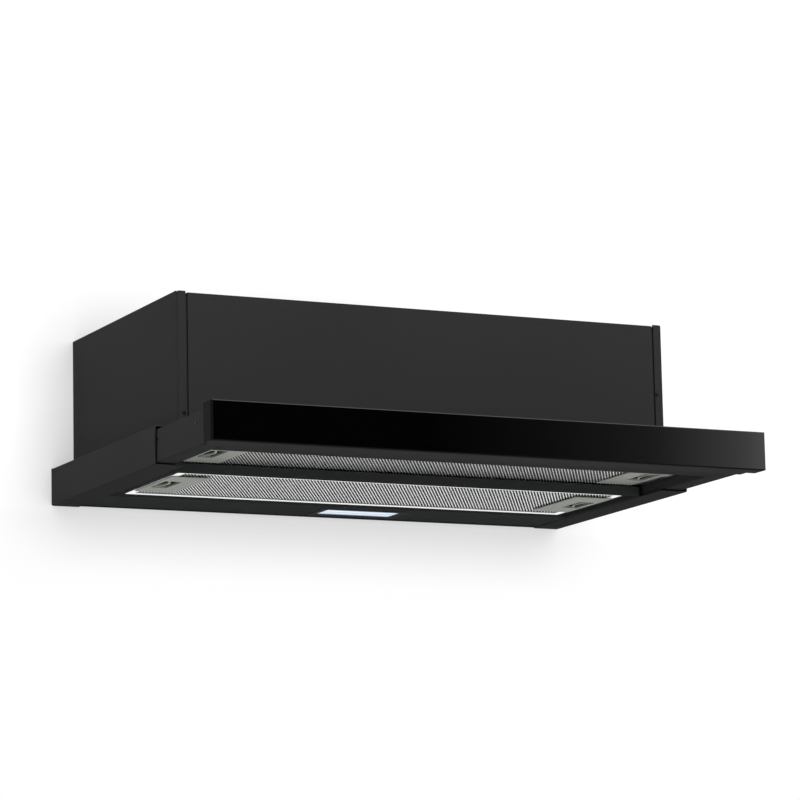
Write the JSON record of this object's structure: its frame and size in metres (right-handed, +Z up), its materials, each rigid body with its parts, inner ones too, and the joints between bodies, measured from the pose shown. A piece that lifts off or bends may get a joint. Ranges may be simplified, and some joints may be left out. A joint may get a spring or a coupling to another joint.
{
  "type": "range hood",
  "caption": "Slim pull-out range hood with a glass-fronted drawer on ball runners, latched grease filters, push buttons, lamp and a centrifugal fan in a black sheet-steel casing",
  "frame": {"origin": "middle of the four wall fixing holes, on the wall face of the back plate", "axes": "+X to the right seen from the front, -Y towards the room, +Z up"},
  "size_m": [0.598, 0.439, 0.2025],
  "materials": {
    "casing_paint": "satin black powder coat on sheet steel",
    "skirt_paint": "satin black powder coat on sheet steel",
    "drawer_paint": "satin black powder coat on sheet steel",
    "panel_paint": "satin black powder coat on sheet steel",
    "fascia_glass": "polished glass, enamelled opaque black from behind",
    "filter_frame": "mill finish aluminium edge",
    "filter_face": "bright perforated aluminium sheet",
    "filter_mesh": "layers of expanded aluminium mesh",
    "latch_plastic": "grey-green moulded plastic",
    "latch_slide": "light grey-green moulded plastic",
    "black_plastic": "fine-grained black moulded plastic",
    "lamp_lens": "frosted clear lamp window",
    "lamp_board": "white lacquered lamp board",
    "fan_plastic": "dark grey moulded plastic",
    "wheel_plastic": "dark grey moulded plastic",
    "zinc_steel": "zinc plated steel",
    "motor_metal": "pressed steel shells and bare laminations",
    "shaft_steel": "ground steel",
    "capacitor_case": "off-white moulded case",
    "button_plastic": "dark grey moulded keys",
    "plunger_plastic": "red moulded plunger",
    "screw_black": "blackened steel screws"
  },
  "bodies": {
    "hood": {"casing_left": "casing_paint", "casing_right": "casing_paint", "casing_back": "casing_paint", "casing_front": "casing_paint", "casing_top": "casing_paint", "skirt_left": "skirt_paint", "skirt_right": "skirt_paint", "base_tray": "skirt_paint", "rear_filter_frame": "filter_frame", "rear_filter_face": "filter_face", "rear_filter_core": "filter_mesh", "rear_latch_plate_left": "latch_plastic", "rear_latch_plate_right": "latch_plastic", "lamp_housing": "black_plastic", "lamp_window": "lamp_lens", "lamp_board": "lamp_board", "fan_housing_left": "fan_plastic", "fan_housing_right": "fan_plastic", "motor_bracket": "zinc_steel", "motor": "motor_metal", "capacitor": "capacitor_case", "control_box": "black_plastic", "control_box_lid": "black_plastic", "cable_gland": "black_plastic", "outlet_collar": "black_plastic", "flap_pin": "shaft_steel", "runner_rail_left": "zinc_steel", "runner_rail_right": "zinc_steel", "start_switch": "black_plastic", "casing_screws": "screw_black"},
    "drawer": {"drawer_frame": "drawer_paint", "drawer_deck": "drawer_paint", "front_panel": "panel_paint", "glass_fascia": "fascia_glass", "front_filter_frame": "filter_frame", "front_filter_face": "filter_face", "front_filter_core": "filter_mesh", "front_latch_plate_left": "latch_plastic", "front_latch_plate_right": "latch_plastic", "switch_housing": "black_plastic", "runner_slide_left": "zinc_steel", "runner_slide_right": "zinc_steel", "drawer_screws": "screw_black"},
    "cage_left": {"ball_cage_left": "zinc_steel"},
    "cage_right": {"ball_cage_right": "zinc_steel"},
    "fan": {"fan_wheel": "wheel_plastic", "motor_shaft": "shaft_steel"},
    "flap_front": {"flap_front": "fan_plastic"},
    "flap_rear": {"flap_rear": "fan_plastic"},
    "rear_latch_left": {"rear_latch_slide_left": "latch_slide"},
    "rear_latch_right": {"rear_latch_slide_right": "latch_slide"},
    "front_latch_left": {"front_latch_slide_left": "latch_slide"},
    "front_latch_right": {"front_latch_slide_right": "latch_slide"},
    "plunger": {"start_plunger": "plunger_plastic"},
    "key_1": {"button_1": "button_plastic"},
    "key_2": {"button_2": "button_plastic"},
    "key_3": {"button_3": "button_plastic"},
    "key_4": {"button_4": "button_plastic"},
    "key_5": {"button_5": "button_plastic"}
  },
  "joints": [
    {"name": "drawer_slide", "type": "slide", "parent": "hood", "child": "drawer", "axis": [0, -1, 0], "range_m": [-0.13, 0]},
    {"name": "cage_slide_left", "type": "slide", "parent": "hood", "child": "cage_left", "axis": [0, -1, 0], "range_m": [-0.065, 0]},
    {"name": "cage_slide_right", "type": "slide", "parent": "hood", "child": "cage_right", "axis": [0, -1, 0], "range_m": [-0.065, 0]},
    {"name": "fan_spin", "type": "hinge", "parent": "hood", "child": "fan", "pos_m": [0, -0.132, 0.003], "axis": [1, 0, 0], "continuous": true},
    {"name": "front_flap_swing", "type": "hinge", "parent": "hood", "child": "flap_front", "pos_m": [0, -0.078, 0.0813], "axis": [-1, 0, 0], "range_deg": [0, 75]},
    {"name": "rear_flap_swing", "type": "hinge", "parent": "hood", "child": "flap_rear", "pos_m": [0, -0.078, 0.0813], "axis": [1, 0, 0], "range_deg": [0, 75]},
    {"name": "rear_latch_left_slide", "type": "slide", "parent": "hood", "child": "rear_latch_left", "axis": [1, 0, 0], "range_m": [0, 0.0055], "stiffness_N_per_m": 400, "springref_m": -0.004},
    {"name": "front_latch_left_slide", "type": "slide", "parent": "drawer", "child": "front_latch_left", "axis": [1, 0, 0], "range_m": [0, 0.0055], "stiffness_N_per_m": 400, "springref_m": -0.004},
    {"name": "rear_latch_right_slide", "type": "slide", "parent": "hood", "child": "rear_latch_right", "axis": [-1, 0, 0], "range_m": [0, 0.0055], "stiffness_N_per_m": 400, "springref_m": -0.004},
    {"name": "front_latch_right_slide", "type": "slide", "parent": "drawer", "child": "front_latch_right", "axis": [-1, 0, 0], "range_m": [0, 0.0055], "stiffness_N_per_m": 400, "springref_m": -0.004},
    {"name": "key_1_press", "type": "slide", "parent": "drawer", "child": "key_1", "axis": [0, 0, -1], "range_m": [0, 0.0025], "stiffness_N_per_m": 500, "springref_m": -0.001},
    {"name": "key_2_press", "type": "slide", "parent": "drawer", "child": "key_2", "axis": [0, 0, -1], "range_m": [0, 0.0025], "stiffness_N_per_m": 500, "springref_m": -0.001},
    {"name": "key_3_press", "type": "slide", "parent": "drawer", "child": "key_3", "axis": [0, 0, -1], "range_m": [0, 0.0025], "stiffness_N_per_m": 500, "springref_m": -0.001},
    {"name": "key_4_press", "type": "slide", "parent": "drawer", "child": "key_4", "axis": [0, 0, -1], "range_m": [0, 0.0025], "stiffness_N_per_m": 500, "springref_m": -0.001},
    {"name": "key_5_press", "type": "slide", "parent": "drawer", "child": "key_5", "axis": [0, 0, -1], "range_m": [0, 0.0025], "stiffness_N_per_m": 500, "springref_m": -0.001},
    {"name": "plunger_press", "type": "slide", "parent": "hood", "child": "plunger", "axis": [0, 1, 0], "range_m": [0, 0.003], "stiffness_N_per_m": 150, "springref_m": -0.002}
  ],
  "couplings": [
    {"joint": "cage_slide_left", "follows": "drawer_slide", "ratio": 0.5},
    {"joint": "cage_slide_right", "follows": "drawer_slide", "ratio": 0.5}
  ]
}
